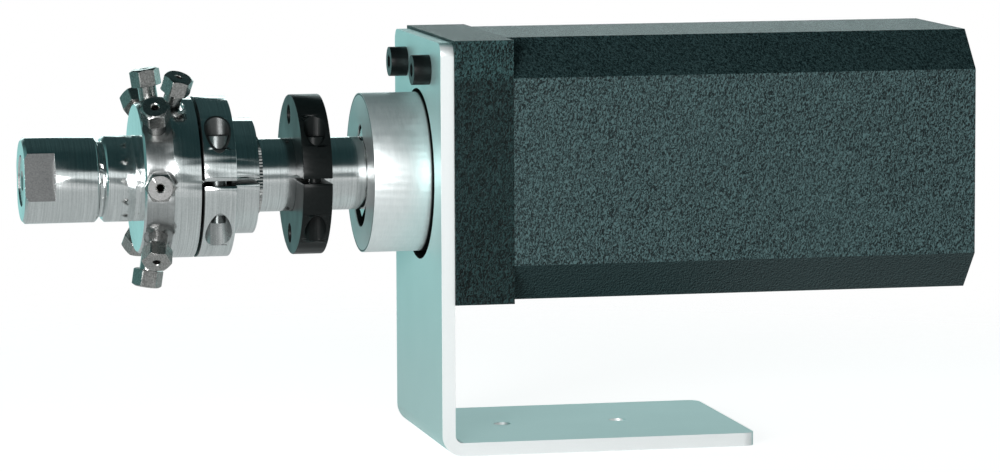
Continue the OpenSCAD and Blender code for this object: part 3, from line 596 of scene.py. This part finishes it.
for slot_name, (make, values, options) in SLOT_RECIPES.items():
    SLOT_MATERIALS[slot_name] = make(slot_name, *values, **options)

NODE_MATERIALS = {
    # The adapter's aluminium carries painted shade.
    "adapter": turned_aluminium("adapter_aluminium", adapter_painted_shade),
    "port_nuts": NUT_STEEL,
    "common_nut": NUT_STEEL,
    # The clamp ring's mask paints shade in its holes, slit and seams.
    "clamp_ring": metal("clamp_ring_steel", *POLISH, dull_and_painted_light=clamp_painted_shade, matte=0.03),
    "clamp_screw": metal("clamp_screw_steel", (0.08, 0.09, 0.09), (0.20, 0.21, 0.21), 0.3, 0.42),
    "port_ferrules": metal("ferrule_brass", (0.05, 0.035, 0.015), (0.11, 0.08, 0.04), 0.5, 0.6),
    "end_cap": metal("end_cap_steel", *POLISH, dull_and_painted_light=wrench_flats),
    # The valve body's mask paints shade in its seam with the clamp ring.
    "valve_body": metal("valve_body_steel", *POLISH, dull_and_painted_light=body_matte_band_and_seam_shade),
    # The cap's coat is near black; its blue-green tint is painted light from the surroundings.
    "front_cap": textured_coat(
        "cap_coat", (0.0003, 0.002, 0.002), (0.021, 0.048, 0.049), 2100, CAP_BAND, 0.12
    ),
}


# ---- Edges ----

# Width of the small round on each node's edges, in mm
EDGE_WIDTHS = {
    "bracket": 0.30,
    "front_cap": 0.5,
    "housing_shell": 0.5,
    "rear_cover": 0.5,
    "adapter": 0.22,
    "clamp_ring": 0.22,
    "valve_body": 0.15,
    "end_cap": 0.15,
    "collar_upper_half": 0.2,
    "collar_lower_half": 0.2,
    "bracket_screws": 0.2,
    "port_nuts": 0.1,
    "common_nut": 0.1,
}


def round_edges(piece, width):
    """Small rounds on a piece's edges, so that they catch light as real ones do."""
    weld = piece.modifiers.new("join", "WELD")
    weld.merge_threshold = 0.002 * MM
    bevel = piece.modifiers.new("edge", "BEVEL")
    bevel.width = width
    bevel.segments = 2
    bevel.limit_method = "ANGLE"
    bevel.angle_limit = math.radians(30)
    bevel.harden_normals = True
    bevel.miter_outer = "MITER_ARC"


def dress_nodes():
    """Each CAD node gets its slot's material or its own; nodes in EDGE_WIDTHS get an edge round."""
    slot_of = {s["node"]: s["material_slot"] for s in frame["record"]["subparts"]}
    for name, piece in nodes.items():
        finish = NODE_MATERIALS.get(name, SLOT_MATERIALS[slot_of[name]])
        piece.data.materials.clear()
        piece.data.materials.append(finish)
        if name in EDGE_WIDTHS:
            round_edges(piece, EDGE_WIDTHS[name] * MM)


# ---- Contacts in the two sockets ----

# Spacing of the flat socket's contacts, and half the distance between its two rows
CONTACT_PITCH = 2.77 * MM
CONTACT_ROW = 1.42 * MM
FLAT_CONTACT_RADIUS = 0.42 * MM
ROUND_CONTACT_RADIUS = 0.55 * MM
ROUND_CONTACT_CIRCLE = 2.6 * MM
# The contacts end this far below the socket's face.
CONTACT_DEPTH = 0.9 * MM


def contact_pins(name, places, x0, x1, radius):
    """Brass contacts along X, in one piece on the actuator, at (y, z) places."""
    mesh = bpy.data.meshes.new(name)
    b = bmesh.new()
    turn = Matrix.Rotation(math.pi / 2, 4, "Y")
    for y, z in places:
        bmesh.ops.create_cone(
            b,
            cap_ends=True,
            segments=20,
            radius1=radius,
            radius2=0.8 * radius,
            depth=x1 - x0,
            matrix=Matrix.Translation(((x0 + x1) / 2, y, z)) @ turn,
        )
    b.to_mesh(mesh)
    b.free()
    mesh.materials.append(SLOT_MATERIALS["brass"])
    piece = bpy.data.objects.new(name, mesh)
    bpy.context.scene.collection.objects.link(piece)
    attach(piece, "base")


def add_contacts():
    """Nine contacts in the flat socket and three in the round one, each below its face."""
    middle = box_middle("serial_socket")
    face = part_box("serial_socket")[1].x
    upper = [(middle.y + i * CONTACT_PITCH, middle.z + CONTACT_ROW) for i in range(-2, 3)]
    lower = [(middle.y + (i - 1.5) * CONTACT_PITCH, middle.z - CONTACT_ROW) for i in range(4)]
    start, stop = face - 5.0 * MM, face - CONTACT_DEPTH
    contact_pins("serial_contacts", upper + lower, start, stop, FLAT_CONTACT_RADIUS)
    middle = box_middle("power_socket")
    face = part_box("power_socket")[1].x
    places = []
    for degrees in (90, 210, 330):
        a = math.radians(degrees)
        y = middle.y + ROUND_CONTACT_CIRCLE * math.cos(a)
        places.append((y, middle.z + ROUND_CONTACT_CIRCLE * math.sin(a)))
    start, stop = face - 6.0 * MM, face - CONTACT_DEPTH
    contact_pins("power_contacts", places, start, stop, ROUND_CONTACT_RADIUS)


# ---- Scene ----

place_camera()
studio_world()
floor()
softbox("key", (-0.54, -0.83, 0.1), 1.1, 0.45, 0.45, 9.5)
softbox("rear", (0.15, 0.95, 0.24), 1.2, 0.9, 0.3, 1.4, (0.88, 1, 1))
dress_nodes()
add_contacts()
bpy.context.scene.view_settings.view_transform = "Standard"
